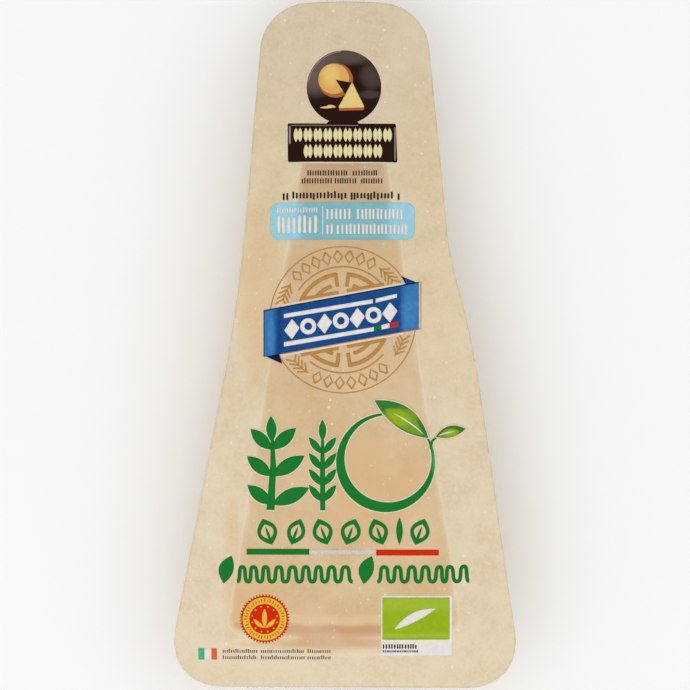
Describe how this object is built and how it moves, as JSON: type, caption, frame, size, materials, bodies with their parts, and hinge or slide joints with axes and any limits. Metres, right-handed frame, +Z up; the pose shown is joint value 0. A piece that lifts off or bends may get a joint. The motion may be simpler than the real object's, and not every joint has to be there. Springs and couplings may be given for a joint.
{
  "type": "vacuum-packed parmesan wedge",
  "caption": "Wedge of hard grating cheese, vacuum packed in a clear formed pocket under a printed parchment-look lid with a wide sealed flange.",
  "frame": {"origin": "on the ground under the middle of the pack's outline", "axes": "+Y along the pack towards the narrow end of the wedge, +X to the right of someone reading the lid, +Z up through the lid"},
  "size_m": [0.099, 0.2, 0.0289],
  "materials": {
    "lid_film": "satin parchment-look printed film",
    "pocket_film": "clear glossy film",
    "cheese": "grainy pressed cheese paste",
    "ink_green": "printed ink",
    "ink_blue": "printed ink",
    "ink_dark": "printed ink",
    "ink_gold": "printed ink",
    "ink_red": "printed ink",
    "ink_white": "printed ink"
  },
  "bodies": {
    "root": {"pack": "lid_film"}
  },
  "joints": []
}
